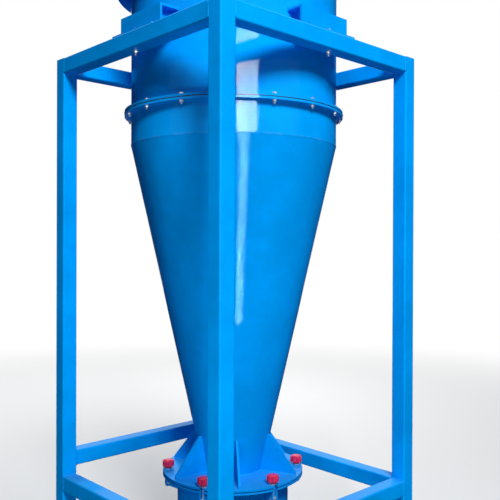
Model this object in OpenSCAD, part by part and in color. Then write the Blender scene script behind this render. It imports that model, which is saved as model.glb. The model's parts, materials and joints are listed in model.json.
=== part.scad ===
// Cyclone dust separator hung in a square steel tube frame.
// Dusty air enters the scroll through the side inlet, dust slides down the cone into the
// clamped bin, and clean air leaves through the pipe in the roof.
// Millimetres, +Z up. The origin lies on the floor, on the axis of the cyclone.
// Left is -X, right is +X, front is -Y and back is +Y.

/* [Frame] */
// Outside width of the square frame
frame_w = 1000; // [980:10:1100]
// Height of the frame above the floor
frame_h = 2200; // [2150:10:2300]
// Outside width of the square tube
tube_w = 60; // [54:1:64]
// Outside corner radius of the tube
tube_corner_r = 6; // [3:0.5:9]
// Height of the top of the lower rails
low_rail_top = 560; // [500:5:565]
// How much higher the back lower rail is welded
back_rail_step = 92; // [70:2:140]
// Side of a square foot plate
foot_w = 120; // [114:2:140]
// Thickness of a foot plate
foot_t = 8; // [5:1:12]
// Diameter of an anchor hole
anchor_hole_d = 12; // [10:1:14]
// Distance between two anchor holes
anchor_spacing = 90; // [84:1:94]

/* [Barrel and collar] */
// Outside radius of the barrel
barrel_r = 400; // [380:1:410]
// Thickness of the rolled sheet
sheet_t = 3; // [2:0.5:5]
// Depth of the bolted joint below the top of the frame
joint_drop = 231; // [200:1:260]
// Height of the plain barrel above its bolted joint
barrel_h = 464; // [440:1:500]
// Height of the straight collar under the bolted joint
collar_h = 120; // [90:1:140]
// Radial width of the two bolted rings
ring_w = 25; // [22:1:30]
// Thickness of the two bolted rings
ring_t = 8; // [5:1:12]
// Thickness of the gasket between the rings
ring_gasket_t = 3; // [2:0.5:5]
// Number of bolt holes in the rings
ring_holes = 16; // [12:1:24]
// Diameter of a bolt hole in the rings
ring_hole_d = 9; // [7:0.5:11]

/* [Support lugs] */
// Length of a lug along its rail
lug_l = 240; // [200:5:320]
// Height of a lug above its rail
lug_h = 80; // [60:2:120]
// Thickness of the lug plates
lug_t = 8; // [5:1:10]
// Depth of a lug from the barrel to its upright face
lug_depth = 54; // [45:1:58]
// How far the ends of a lug reach past its gussets
lug_lip = 30; // [10:1:50]
// How far each lug sits from the middle of its rail
lug_shift = 16; // [-30:1:30]
// Overhang of the lug's base plate past the middle of its rail
lug_overhang = 20; // [16:1:26]
// Diameter of the lug's bolt hole
lug_hole_d = 11; // [9:0.5:14]

/* [Cone] */
// Height of the cone
cone_h = 1251; // [1200:1:1262]
// Outside radius of the cone at the dust outlet
outlet_r = 118; // [90:1:140]
// Radius of the outlet flange
flange_r = 274; // [270:1:290]
// Thickness of the outlet flange
flange_t = 8; // [6:1:12]
// Height of a gusset plate above the outlet flange
gusset_h = 143; // [100:1:180]
// Radius reached by a gusset plate
gusset_r = 262; // [240:1:266]
// Thickness of a gusset plate
gusset_t = 8; // [5:1:12]
// Height of a gusset plate at its outer end
gusset_toe = 10; // [6:1:20]
// Width of a gusset plate at its top
gusset_top_w = 8; // [5:1:14]

/* [Clamps] */
// Number of clamps
clamps = 6; // [4:1:8]
// Direction of the first clamp, in degrees from +X
clamp_angle = 23.5; // [0:0.5:59.5]
// Radius of the circle of clamp bolts
clamp_r = 253; // [251:1:256]
// Diameter of a clamp bolt
stud_d = 12; // [10:1:14]
// Clearance on each side of a clamp bolt in its slot
slot_clearance = 1; // [0.5:0.5:2]
// Clearance around the pin and in the knob's bore
fit_clearance = 0.1; // [0.05:0.05:0.3]
// Depth of the hinge pin below the bin's flange
pin_drop = 35; // [30:1:60]
// Diameter of the hinge pin
pin_d = 10; // [8:1:12]
// Outside diameter of the eye of a clamp bolt
eye_d = 22; // [20:1:24]
// Thickness of a clamp ear
ear_t = 5; // [3:1:8]
// How far an ear reaches past the eye of its clamp bolt
ear_margin = 2; // [1:0.5:4]
// Diameter of a star knob
knob_d = 46; // [40:1:52]
// Height of the star of a knob
knob_h = 24; // [18:1:32]
// Height of the boss under the star
knob_boss_h = 10; // [6:1:16]
// Diameter of the boss at its foot
knob_boss_d = 24; // [20:1:28]
// Diameter of the boss where it meets the star
knob_neck_d = 29; // [26:1:32]
// Height of the shallow dome on a knob
knob_dome_h = 3; // [2:0.5:5]
// Width of the step round the dome
knob_step = 1; // [0.5:0.5:2]
// Number of grip lobes of a knob
knob_lobes = 7; // [5:1:9]
// Depth of the hollow between two lobes
knob_hollow = 4.6; // [3:0.2:6]
// Diameter of the round that cuts a hollow
knob_hollow_d = 15; // [12:0.5:17]

/* [Dust bin] */
// Outside radius of the bin
bin_r = 217; // [205:1:225]
// Height of the bin's lower edge above the floor
bin_clearance = 60; // [30:5:120]
// Thickness of the bin's flange
bin_flange_t = 6; // [4:1:10]
// Thickness of the bin's gasket
bin_gasket_t = 5; // [3:0.5:8]
// Width of the bin's gasket
bin_gasket_w = 27; // [18:1:28]
// Height of the bottom plate above the bin's lower edge
bin_recess = 18; // [15:1:40]
// Height of the hoop at the bin's lower edge
hoop_h = 12; // [8:1:14]
// Thickness of the hoop
hoop_t = 5; // [3:1:8]

/* [Scroll inlet] */
// Clear outside height of the scroll
scroll_h = 400; // [300:5:450]
// Outside width of the inlet duct
inlet_w = 180; // [140:2:200]
// Growth of the scroll's radius with each quarter turn
scroll_step = 16; // [8:1:22]
// Distance of the inlet's flange face from the axis
inlet_reach = 530; // [500:5:560]
// Thickness of the floor and roof of the scroll
scroll_plate_t = 4; // [3:0.5:8]
// Width of the inlet's flange
inlet_flange_w = 30; // [26:1:40]
// Thickness of the inlet's flange
inlet_flange_t = 6; // [4:1:10]
// Diameter of a bolt hole in the inlet's flange
inlet_hole_d = 11; // [9:1:13]

/* [Clean air outlet] */
// Outside radius of the outlet pipe
pipe_r = 200; // [160:1:220]
// Length of the pipe below the floor of the scroll
pipe_dip = 60; // [20:5:150]
// Height of the pipe above the roof of the scroll
pipe_rise = 120; // [80:5:240]
// Width of the pipe's flange
pipe_flange_w = 35; // [32:1:45]
// Thickness of the pipe's flange
pipe_flange_t = 6; // [4:1:10]
// Number of bolt holes in the pipe's flange
pipe_holes = 12; // [8:1:16]
// Diameter of a bolt hole in the pipe's flange
pipe_hole_d = 11; // [9:1:13]

/* [Hidden] */
$fn = 120;

blue = [0.00, 0.50, 0.86];
zinc = [0.76, 0.77, 0.78];
gasket_grey = [0.22, 0.24, 0.27];
rubber_black = [0.10, 0.10, 0.11];
knob_red = [0.86, 0.08, 0.16];

// Excess length of a cutting tool past the face it cuts
cut = 1;

// Frame
rail_axis = (frame_w - tube_w) / 2;
rail_l = frame_w - 2 * tube_w;
top_rail_z = frame_h - tube_w / 2;
low_rail_z = low_rail_top - tube_w / 2;

// Heights along the cyclone, from the bolted joint down and up
joint_z = frame_h - joint_drop;
cone_ring_z = joint_z - ring_t;
barrel_z = joint_z + ring_gasket_t;
scroll_z = barrel_z + barrel_h;
roof_z = scroll_z + scroll_h;
cone_top_z = joint_z - collar_h;
flange_top_z = cone_top_z - cone_h;
flange_z = flange_top_z - flange_t;
bin_top_z = flange_z - bin_gasket_t;
bin_flange_z = bin_top_z - bin_flange_t;
pin_z = bin_flange_z - pin_drop;

// Radii
shell_in_r = barrel_r - sheet_t;
ring_r = barrel_r + ring_w;
ring_hole_r = barrel_r + ring_w / 2;
lug_face = barrel_r + lug_depth;
cone_slope = (barrel_r - outlet_r) / cone_h;
cone_wall = sheet_t * sqrt(1 + pow(cone_slope, 2));
bin_in_r = bin_r - sheet_t;
stud_top_z = flange_top_z + knob_boss_h + knob_h / 2;
ear_nose = eye_d / 2 + ear_margin;
slot_w = stud_d + 2 * slot_clearance;
pin_bore_d = pin_d + 2 * fit_clearance;

// Plan of the scroll
duct_outer_y = barrel_r + 4 * scroll_step;
duct_inner_y = duct_outer_y - inlet_w;
duct_mid_y = duct_outer_y - inlet_w / 2;
duct_mid_z = scroll_z + scroll_h / 2;

// Radius of the cone's outside at a height above the outlet flange
function cone_r(height) = outlet_r + cone_slope * height;

// Solid round bar or tube wall between two heights
module disc(r, z, h) {
    translate([0, 0, z]) cylinder(r = r, h = h);
}

module ring(r_in, r_out, z, h) {
    translate([0, 0, z])
        difference() {
            cylinder(r = r_out, h = h);
            translate([0, 0, -cut]) cylinder(r = r_in, h = h + 2 * cut);
        }
}

module hole_circle(count, circle_r, hole_d, z, h) {
    for (i = [0 : count - 1])
        rotate([0, 0, i * 360 / count])
            translate([circle_r, 0, z - cut])
                cylinder(d = hole_d, h = h + 2 * cut, $fn = 24);
}

// Places its children at every clamp, with local +X pointing outwards
module at_clamps() {
    for (i = [0 : clamps - 1])
        rotate([0, 0, clamp_angle + i * 360 / clamps]) children();
}

// Cross-section of the square tube with its rounded corners
module tube_section() {
    inner = tube_w / 2 - tube_corner_r;
    square([tube_w, 2 * inner], center = true);
    square([2 * inner, tube_w], center = true);
    for (x = [-inner, inner], y = [-inner, inner])
        translate([x, y]) circle(r = tube_corner_r, $fn = 32);
}

module foot_plates() {
    for (x = [-rail_axis, rail_axis], y = [-rail_axis, rail_axis])
        translate([x, y, 0])
            color(blue)
                difference() {
                    translate([-foot_w / 2, -foot_w / 2, 0]) cube([foot_w, foot_w, foot_t]);
                    for (a = [-1, 1], b = [-1, 1])
                        translate([a * anchor_spacing / 2, b * anchor_spacing / 2, -cut])
                            cylinder(d = anchor_hole_d, h = foot_t + 2 * cut, $fn = 24);
                }
}

module post(x_side, y_side) {
    color(blue)
        translate([x_side * rail_axis, y_side * rail_axis, foot_t])
            linear_extrude(frame_h - foot_t) tube_section();
}

// Rail on the side that faces the given direction, centred on the height z
module rail(direction, z) {
    rotate([0, 0, direction])
        translate([rail_axis, rail_l / 2, z])
            rotate([90, 0, 0])
                linear_extrude(rail_l) tube_section();
}

module low_rail(direction, rise) {
    color(blue) rail(direction, low_rail_z + rise);
}

module top_rail(direction) {
    color(blue)
        difference() {
            rail(direction, top_rail_z);
            lug_hole(direction, frame_h - tube_w, tube_w);
        }
}

module lug_hole(direction, z, h) {
    rotate([0, 0, direction])
        translate([rail_axis, lug_shift, z - cut])
            cylinder(d = lug_hole_d, h = h + 2 * cut, $fn = 32);
}

// Welded bracket: base plate on the rail, top plate, upright face and two gussets set in from
// its open ends, all cut to the round of the barrel
module lug(direction) {
    plate_in = sqrt(pow(barrel_r, 2) - pow(lug_l / 2 + abs(lug_shift), 2)) - lug_t;
    base_out = rail_axis + lug_overhang;
    gusset_y = lug_l / 2 - lug_lip;
    color(blue)
        difference() {
            rotate([0, 0, direction])
                translate([0, lug_shift, frame_h]) {
                    translate([plate_in, -lug_l / 2, 0]) cube([base_out - plate_in, lug_l, lug_t]);
                    translate([plate_in, -lug_l / 2, lug_h - lug_t])
                        cube([lug_face - plate_in, lug_l, lug_t]);
                    translate([lug_face - lug_t, -lug_l / 2, 0]) cube([lug_t, lug_l, lug_h]);
                    for (y = [-gusset_y, gusset_y - lug_t])
                        translate([plate_in, y, 0]) cube([lug_face - plate_in, lug_t, lug_h]);
                }
            disc(barrel_r, frame_h - cut, lug_h + 2 * cut);
            lug_hole(direction, frame_h, lug_t);
        }
}

module barrel() {
    color(blue) ring(shell_in_r, barrel_r, barrel_z, barrel_h);
}

module bolted_ring(r_in, z, h) {
    difference() {
        ring(r_in, ring_r, z, h);
        hole_circle(ring_holes, ring_hole_r, ring_hole_d, z, h);
    }
}

module barrel_ring() {
    color(blue) bolted_ring(barrel_r, barrel_z, ring_t);
}

module ring_gasket() {
    color(gasket_grey) bolted_ring(shell_in_r, joint_z, ring_gasket_t);
}

module cone_ring() {
    color(blue) bolted_ring(barrel_r, cone_ring_z, ring_t);
}

module collar() {
    color(blue) ring(shell_in_r, barrel_r, cone_top_z, collar_h);
}

module cone() {
    color(blue)
        translate([0, 0, flange_top_z])
            rotate_extrude()
                polygon([
                    [outlet_r, 0],
                    [barrel_r, cone_h],
                    [barrel_r - cone_wall, cone_h],
                    [outlet_r - cone_wall, 0]
                ]);
}

// Triangular plates midway between the clamps, cut to the round of the cone
module cone_gussets() {
    top_r = cone_r(gusset_h);
    color(blue)
        difference() {
            rotate([0, 0, 180 / clamps])
                at_clamps()
                    translate([0, gusset_t / 2, flange_top_z])
                        rotate([90, 0, 0])
                            linear_extrude(gusset_t)
                                polygon([
                                    [outlet_r - gusset_t, 0],
                                    [gusset_r, 0],
                                    [gusset_r, gusset_toe],
                                    [top_r + gusset_top_w, gusset_h],
                                    [top_r - gusset_t, gusset_h]
                                ]);
            translate([0, 0, flange_top_z])
                cylinder(r1 = outlet_r, r2 = barrel_r, h = cone_h);
        }
}

// Slots open at the rim, so that the clamp bolts swing in and out
module clamp_slots(z, h) {
    at_clamps() {
        translate([clamp_r, 0, z - cut]) cylinder(d = slot_w, h = h + 2 * cut, $fn = 32);
        translate([clamp_r, -slot_w / 2, z - cut]) cube([flange_r, slot_w, h + 2 * cut]);
    }
}

module outlet_flange() {
    color(blue)
        difference() {
            ring(outlet_r - cone_wall, flange_r, flange_z, flange_t);
            clamp_slots(flange_z, flange_t);
        }
}

module bin_gasket() {
    color(rubber_black) ring(bin_in_r, bin_in_r + bin_gasket_w, bin_top_z, bin_gasket_t);
}

module bin_flange() {
    color(blue)
        difference() {
            ring(bin_r, flange_r, bin_flange_z, bin_flange_t);
            clamp_slots(bin_flange_z, bin_flange_t);
        }
}

module bin_shell() {
    color(blue) ring(bin_in_r, bin_r, bin_clearance, bin_top_z - bin_clearance);
}

module bin_bottom() {
    color(blue) disc(bin_in_r, bin_clearance + bin_recess, sheet_t);
}

module bin_hoop() {
    color(blue) ring(bin_r, bin_r + hoop_t, bin_clearance, hoop_h);
}

// Pairs of ears under the bin's flange that carry the hinge pins
module clamp_ears() {
    color(blue)
        difference() {
            at_clamps()
                for (y = [-slot_w / 2, slot_w / 2 + ear_t])
                    translate([0, y, 0])
                        rotate([90, 0, 0])
                            linear_extrude(ear_t)
                                polygon([
                                    [bin_in_r, bin_flange_z],
                                    [clamp_r + ear_nose, bin_flange_z],
                                    [clamp_r + ear_nose, pin_z - ear_nose / 2],
                                    [clamp_r + ear_nose / 2, pin_z - ear_nose],
                                    [clamp_r - ear_nose / 2, pin_z - ear_nose],
                                    [bin_in_r, pin_z - 2 * ear_nose]
                                ]);
            disc(bin_r, bin_clearance, bin_top_z - bin_clearance);
            at_clamps() hinge_pin(pin_bore_d, slot_w + 2 * ear_t + 2 * cut);
        }
}

// Cylinder across a clamp, on the axis of its hinge
module hinge_pin(d, l) {
    translate([clamp_r, l / 2, pin_z])
        rotate([90, 0, 0]) cylinder(d = d, h = l, $fn = 32);
}

module clamp_pins() {
    color(zinc) at_clamps() hinge_pin(pin_d, slot_w + 2 * ear_t + pin_d / 2);
}

// Eye bolts that hang on the pins and stand up through the slots
module clamp_bolts() {
    color(zinc)
        at_clamps()
            difference() {
                union() {
                    hinge_pin(eye_d, stud_d);
                    translate([clamp_r, 0, pin_z]) cylinder(d = stud_d, h = stud_top_z - pin_z, $fn = 32);
                }
                hinge_pin(pin_bore_d, stud_d + 2 * cut);
            }
}

module clamp_knobs() {
    star_h = knob_h - knob_dome_h;
    dome_d = knob_d - 2 * knob_hollow - 2 * knob_step;
    color(knob_red)
        at_clamps()
            translate([clamp_r, 0, flange_top_z])
                difference() {
                    union() {
                        cylinder(d1 = knob_boss_d, d2 = knob_neck_d, h = knob_boss_h, $fn = 48);
                        translate([0, 0, knob_boss_h]) star(star_h);
                        translate([0, 0, knob_boss_h + star_h])
                            cylinder(d1 = dome_d, d2 = knob_neck_d, h = knob_dome_h, $fn = 48);
                    }
                    translate([0, 0, -cut])
                        cylinder(
                            d = stud_d + 2 * fit_clearance,
                            h = stud_top_z - flange_top_z + cut,
                            $fn = 32
                        );
                }
}

// Round grip with a hollow between each pair of lobes
module star(h) {
    hollow_x = knob_d / 2 - knob_hollow + knob_hollow_d / 2;
    linear_extrude(h)
        difference() {
            circle(d = knob_d, $fn = 64);
            for (i = [0 : knob_lobes - 1])
                rotate(i * 360 / knob_lobes)
                    translate([hollow_x, 0]) circle(d = knob_hollow_d, $fn = 32);
        }
}

// One quarter of the scroll: a quarter disc round its own centre
module scroll_quarter(centre, r, x_side, y_side, z, h) {
    translate([centre[0], centre[1], z])
        intersection() {
            cylinder(r = r, h = h);
            translate([x_side < 0 ? -2 * r : 0, y_side < 0 ? -2 * r : 0, 0]) cube([2 * r, 2 * r, h]);
        }
}

// Spiral of four quarter discs whose radius grows towards the inlet, and the straight duct.
// Each centre moves by one step, so that every quarter starts where the last one ends.
module scroll_body(inset, duct_end, z, h) {
    g = scroll_step;
    r = barrel_r - inset;
    scroll_quarter([0, 0], r, 1, 1, z, h);
    scroll_quarter([-g, 0], r + g, 1, -1, z, h);
    scroll_quarter([-g, g], r + 2 * g, -1, -1, z, h);
    scroll_quarter([0, g], r + 3 * g, -1, 1, z, h);
    translate([0, duct_inner_y + inset, z])
        cube([duct_end, inlet_w - 2 * inset, h]);
}

module scroll_floor() {
    color(blue)
        difference() {
            scroll_body(0, inlet_reach, scroll_z, scroll_plate_t);
            disc(shell_in_r, scroll_z - cut, scroll_plate_t + 2 * cut);
        }
}

module scroll_wall() {
    wall_z = scroll_z + scroll_plate_t;
    wall_h = scroll_h - 2 * scroll_plate_t;
    color(blue)
        difference() {
            scroll_body(0, inlet_reach, wall_z, wall_h);
            scroll_body(sheet_t, inlet_reach + cut, wall_z - cut, wall_h + 2 * cut);
        }
}

module scroll_roof() {
    color(blue)
        difference() {
            scroll_body(0, inlet_reach, roof_z - scroll_plate_t, scroll_plate_t);
            disc(pipe_r, roof_z - scroll_plate_t - cut, scroll_plate_t + 2 * cut);
        }
}

// Rectangular frame round the mouth of the duct, with ten bolt holes
module inlet_flange() {
    w = inlet_w + 2 * inlet_flange_w;
    h = scroll_h + 2 * inlet_flange_w;
    hole_y = (inlet_w + inlet_flange_w) / 2;
    hole_z = (scroll_h + inlet_flange_w) / 2;
    color(blue)
        translate([inlet_reach - inlet_flange_t, duct_mid_y, duct_mid_z])
            difference() {
                translate([0, -w / 2, -h / 2]) cube([inlet_flange_t, w, h]);
                translate([-cut, -inlet_w / 2, -scroll_h / 2])
                    cube([inlet_flange_t + 2 * cut, inlet_w, scroll_h]);
                for (y = [-hole_y, hole_y], z = [-hole_z, -hole_z / 3, hole_z / 3, hole_z])
                    inlet_hole(y, z);
                for (z = [-hole_z, hole_z])
                    inlet_hole(0, z);
            }
}

module inlet_hole(y, z) {
    translate([-cut, y, z])
        rotate([0, 90, 0]) cylinder(d = inlet_hole_d, h = inlet_flange_t + 2 * cut, $fn = 24);
}

module outlet_pipe() {
    z = scroll_z - pipe_dip;
    color(blue) ring(pipe_r - sheet_t, pipe_r, z, roof_z + pipe_rise - z);
}

module pipe_flange() {
    z = roof_z + pipe_rise - pipe_flange_t;
    color(blue)
        difference() {
            ring(pipe_r, pipe_r + pipe_flange_w, z, pipe_flange_t);
            hole_circle(pipe_holes, pipe_r + pipe_flange_w / 2, pipe_hole_d, z, pipe_flange_t);
        }
}

// Directions of the four sides
right = 0;
back = 90;
left = 180;
front = 270;

foot_plates();
post(-1, -1);  // post_front_left
post(1, -1);  // post_front_right
post(-1, 1);  // post_back_left
post(1, 1);  // post_back_right
low_rail(front, 0);  // low_rail_front
low_rail(back, back_rail_step);  // low_rail_back
low_rail(left, 0);  // low_rail_left
low_rail(right, 0);  // low_rail_right
top_rail(front);  // top_rail_front
top_rail(back);  // top_rail_back
top_rail(left);  // top_rail_left
top_rail(right);  // top_rail_right
lug(front);  // lug_front
lug(back);  // lug_back
lug(left);  // lug_left
lug(right);  // lug_right
barrel();
barrel_ring();
ring_gasket();
cone_ring();
collar();
cone();
cone_gussets();
outlet_flange();
bin_gasket();
bin_flange();
bin_shell();
bin_bottom();
bin_hoop();
clamp_ears();
clamp_pins();
clamp_bolts();
clamp_knobs();
scroll_floor();
scroll_wall();
scroll_roof();
inlet_flange();
outlet_pipe();
pipe_flange();
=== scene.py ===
"""Looks of a cyclone dust separator in its square tube frame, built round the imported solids."""

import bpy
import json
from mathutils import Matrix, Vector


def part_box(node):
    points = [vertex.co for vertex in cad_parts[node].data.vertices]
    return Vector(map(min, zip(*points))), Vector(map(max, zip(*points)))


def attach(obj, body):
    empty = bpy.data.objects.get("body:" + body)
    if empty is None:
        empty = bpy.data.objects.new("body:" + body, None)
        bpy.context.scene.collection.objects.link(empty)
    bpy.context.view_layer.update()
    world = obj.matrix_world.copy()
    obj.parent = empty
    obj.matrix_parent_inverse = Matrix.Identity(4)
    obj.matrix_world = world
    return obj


bl_info = {
    "name": "Cyclone Separator",
    "version": (1, 0, 0),
    "blender": (4, 5, 0),
    "location": "3D View > Sidebar > Cyclone",
    "description": "Paint, welds, bolts and gaskets of a cyclone dust separator, and its studio",
    "category": "Object",
}

import json
import math

import bmesh
import bpy
import numpy as np
from bpy.props import FloatProperty, FloatVectorProperty, IntProperty, PointerProperty
from mathutils import Matrix, Vector

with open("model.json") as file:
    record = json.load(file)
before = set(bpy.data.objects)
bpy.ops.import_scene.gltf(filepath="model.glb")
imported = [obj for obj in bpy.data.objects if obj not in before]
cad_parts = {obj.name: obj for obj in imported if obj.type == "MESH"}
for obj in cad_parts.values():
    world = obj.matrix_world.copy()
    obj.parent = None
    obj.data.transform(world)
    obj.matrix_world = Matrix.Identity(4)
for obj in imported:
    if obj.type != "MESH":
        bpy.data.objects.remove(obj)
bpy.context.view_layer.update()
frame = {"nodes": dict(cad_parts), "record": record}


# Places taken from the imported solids, in metres


def low(node):
    """Lowest corner of a node."""
    return np.array(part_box(node)[0])


def high(node):
    """Highest corner of a node."""
    return np.array(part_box(node)[1])


def heights(node):
    """Lowest and highest z of a node."""
    return float(low(node)[2]), float(high(node)[2])


def radius(node):
    """Outside radius of a round node on the axis, from its highest x."""
    return float(high(node)[0])


RAIL_BOTTOM, FRAME_TOP = heights("top_rail_left")
TUBE = FRAME_TOP - RAIL_BOTTOM
RAIL_AXIS = float(high("post_front_right")[0]) - TUBE / 2
FOOT_TOP = heights("foot_plates")[1]
LUG_SHIFT = float(low("lug_right")[1] + high("lug_right")[1]) / 2
BARREL_R = radius("barrel")
RING_R = radius("barrel_ring")
RING_TOP = heights("barrel_ring")[1]
RING_BOTTOM = heights("cone_ring")[0]
CONE_BOTTOM, CONE_TOP = heights("cone")
BIN_R = radius("bin_shell")
BIN_TOP = heights("bin_flange")[0]
HOOP_TOP = heights("bin_hoop")[1]
PIPE_R = radius("outlet_pipe")
PIPE_TOP = heights("pipe_flange")[0]
ROOF_TOP = heights("scroll_roof")[1]
SCROLL_FLOOR = heights("scroll_floor")[0]


class PaintSettings(bpy.types.PropertyGroup):
    """Colours and finish of the coats and metals."""

    blue: FloatVectorProperty(
        name="Enamel", description="Blue enamel on the frame and the cyclone", subtype="COLOR",
        size=3, min=0, max=1, default=(0.0, 0.338, 0.92))
    peel: FloatProperty(
        name="Orange peel", description="Depth of the fine ripple in the enamel", unit="LENGTH",
        min=0, max=0.001, default=0.00005)
    wave: FloatProperty(
        name="Sheet wave", description="Depth of the shallow waves in the rolled sheet",
        unit="LENGTH", min=0, max=0.01, default=0.0022)
    zinc: FloatVectorProperty(
        name="Zinc", description="Plated bolts, nuts and washers", subtype="COLOR", size=3,
        min=0, max=1, default=(0.70, 0.80, 0.90))
    gasket: FloatVectorProperty(
        name="Ring gasket", description="Dark sheet gasket in the bolted joint", subtype="COLOR",
        size=3, min=0, max=1, default=(0.010, 0.030, 0.065))
    rubber: FloatVectorProperty(
        name="Rubber", description="Black rubber of the bin's gasket", subtype="COLOR", size=3,
        min=0, max=1, default=(0.018, 0.019, 0.021))
    red: FloatVectorProperty(
        name="Knob red", description="Moulded plastic of the star knobs", subtype="COLOR", size=3,
        min=0, max=1, default=(0.72, 0.020, 0.085))


class HardwareSettings(bpy.types.PropertyGroup):
    """Bolts of the joint ring, the lugs and the clamps."""

    ring_bolts: IntProperty(
        name="Ring bolts", description="Number of bolts in the joint ring", min=4, default=16)
    ring_bolt_d: FloatProperty(
        name="Ring bolt", description="Thread diameter of a ring bolt", unit="LENGTH",
        min=0.004, default=0.008)
    lug_bolt_d: FloatProperty(
        name="Lug bolt", description="Thread diameter of a lug bolt", unit="LENGTH",
        min=0.006, default=0.010)
    clamps: IntProperty(
        name="Clamps", description="Number of clamps on the outlet flange", min=1, default=6)
    clamp_angle: FloatProperty(
        name="First clamp", description="Direction of the first clamp", subtype="ANGLE",
        default=math.radians(23.5))
    clamp_r: FloatProperty(
        name="Clamp circle", description="Radius of the circle of clamp bolts", unit="LENGTH",
        min=0.1, default=0.253)
    stud_d: FloatProperty(
        name="Clamp bolt", description="Thread diameter of a clamp bolt", unit="LENGTH",
        min=0.004, default=0.012)


class WeldSettings(bpy.types.PropertyGroup):
    """Weld beads under the paint, and the sizes of the plates that they run along."""

    fillet: FloatProperty(
        name="Fillet", description="Width of a bead in a corner", unit="LENGTH",
        min=0.002, default=0.0075)
    seam: FloatProperty(
        name="Seam", description="Width of a bead along a butt seam", unit="LENGTH",
        min=0.002, default=0.007)
    pitch: FloatProperty(
        name="Ripple", description="Distance between two ripples of a bead", unit="LENGTH",
        min=0.002, default=0.006)
    gusset_t: FloatProperty(
        name="Gusset", description="Thickness of a gusset plate", unit="LENGTH",
        min=0.002, default=0.008)
    gusset_r: FloatProperty(
        name="Gusset reach", description="Radius reached by a gusset plate", unit="LENGTH",
        min=0.1, default=0.262)
    lug_t: FloatProperty(
        name="Lug plate", description="Thickness of a lug's plates", unit="LENGTH",
        min=0.002, default=0.008)
    lug_face: FloatProperty(
        name="Lug face", description="Distance of a lug's upright face from the axis",
        unit="LENGTH", min=0.1, default=0.454)


class StudioSettings(bpy.types.PropertyGroup):
    """Camera, floor and window."""

    eye: FloatVectorProperty(
        name="Camera", description="Place of the camera", subtype="TRANSLATION", unit="LENGTH",
        size=3, default=(-1.791, -2.000, 1.464))
    yaw: FloatProperty(
        name="Yaw", description="View direction, turned from +X towards +Y", subtype="ANGLE",
        default=math.radians(46.77))
    pitch: FloatProperty(
        name="Pitch", description="View direction above the horizon", subtype="ANGLE",
        default=math.radians(-0.28))
    roll: FloatProperty(
        name="Roll", description="Turn of the camera about its view direction",
        subtype="ANGLE", default=math.radians(0.20))
    lens: FloatProperty(
        name="Lens", description="Focal length on a 36 mm sensor, in millimetres",
        min=10, default=48.96)
    window: FloatProperty(
        name="Window", description="Brightness of the window that shows in the paint",
        min=0, default=190.0)
    floor_r: FloatProperty(
        name="Floor", description="Radius of the pale floor", unit="LENGTH", min=2, default=30.0)


class CycloneSettings(bpy.types.PropertyGroup):
    """All settings of the cyclone."""

    paint: PointerProperty(type=PaintSettings)
    hardware: PointerProperty(type=HardwareSettings)
    welds: PointerProperty(type=WeldSettings)
    studio: PointerProperty(type=StudioSettings)


def settings():
    """The settings of the cyclone in this scene."""
    return bpy.context.scene.cyclone


# Shader maths


class Signal:
    """A shader socket in a tree. Sums, differences and products with it add Math nodes."""

    def __init__(self, tree, socket=None):
        self.tree = tree
        self.socket = socket

    def node(self, kind, options=None, sockets=None, output=0):
        """Adds a node: first its options, then the values or links of its sockets."""
        made = self.tree.nodes.new(kind)
        for key, value in (options or {}).items():
            if key == "stops":
                ramp = made.color_ramp
                while len(ramp.elements) < len(value):
                    ramp.elements.new(0.5)
                for element, (place, tone) in zip(ramp.elements, value):
                    element.position = place
                    element.color = (tone, tone, tone, 1)
            else:
                setattr(made, key, value)
        for key, value in (sockets or {}).items():
            if isinstance(value, Signal):
                self.tree.links.new(value.socket, made.inputs[key])
            else:
                made.inputs[key].default_value = value
        return Signal(self.tree, made.outputs[output])

    def _maths(self, operation, first, second):
        """Adds a Math node on two signals or numbers."""
        return self.node("ShaderNodeMath", {"operation": operation}, {0: first, 1: second})

    def __add__(self, other):
        return self._maths("ADD", self, other)

    def __radd__(self, other):
        return self._maths("ADD", other, self)

    def __sub__(self, other):
        return self._maths("SUBTRACT", self, other)

    def __rsub__(self, other):
        return self._maths("SUBTRACT", other, self)

    def __mul__(self, other):
        return self._maths("MULTIPLY", self, other)

    def __rmul__(self, other):
        return self._maths("MULTIPLY", other, self)

    def node_sink(self, kind, sockets):
        """Adds a node that has no output, such as the material output."""
        made = self.tree.nodes.new(kind)
        for key, value in sockets.items():
            self.tree.links.new(value.socket, made.inputs[key])

    def above(self, start, end):
        """0 below start, 1 above end, smooth between them."""
        return self.node("ShaderNodeMapRange", {"interpolation_type": "SMOOTHSTEP"},
                         {"Value": self, "From Min": start, "From Max": end})

    def mix(self, first, second):
        """Blends two colours by this signal."""
        made = self.tree.nodes.new("ShaderNodeMix")
        made.data_type = "RGBA"
        self.tree.links.new(self.socket, made.inputs["Factor"])
        for key, value in ((6, first), (7, second)):
            if isinstance(value, Signal):
                self.tree.links.new(value.socket, made.inputs[key])
            else:
                made.inputs[key].default_value = (*value, 1)
        return Signal(self.tree, made.outputs[2])


def new_material(name, colour):
    """An empty material and the signal of its Object coordinates."""
    material = bpy.data.materials.new(name)
    material.use_nodes = True
    material.diffuse_color = (*colour, 1)
    material.node_tree.nodes.clear()
    return material, Signal(material.node_tree).node("ShaderNodeTexCoord", output=3)


def noise(place, scale, detail=3.0, roughness=0.5, stretch=None):
    """Noise in metres on Object coordinates: scale is the number of cells in a metre."""
    if stretch:
        place = place.node("ShaderNodeMapping", None, {"Vector": place, "Scale": stretch})
    return place.node("ShaderNodeTexNoise", None,
                      {"Vector": place, "Scale": scale, "Detail": detail, "Roughness": roughness})


def facing_up(place):
    """1 on faces that look up, 0 on walls."""
    normal = place.node("ShaderNodeNewGeometry", output=1)
    z = place.node("ShaderNodeSeparateXYZ", None, {"Vector": normal}, output=2)
    return z.above(0.6, 0.95)


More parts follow.
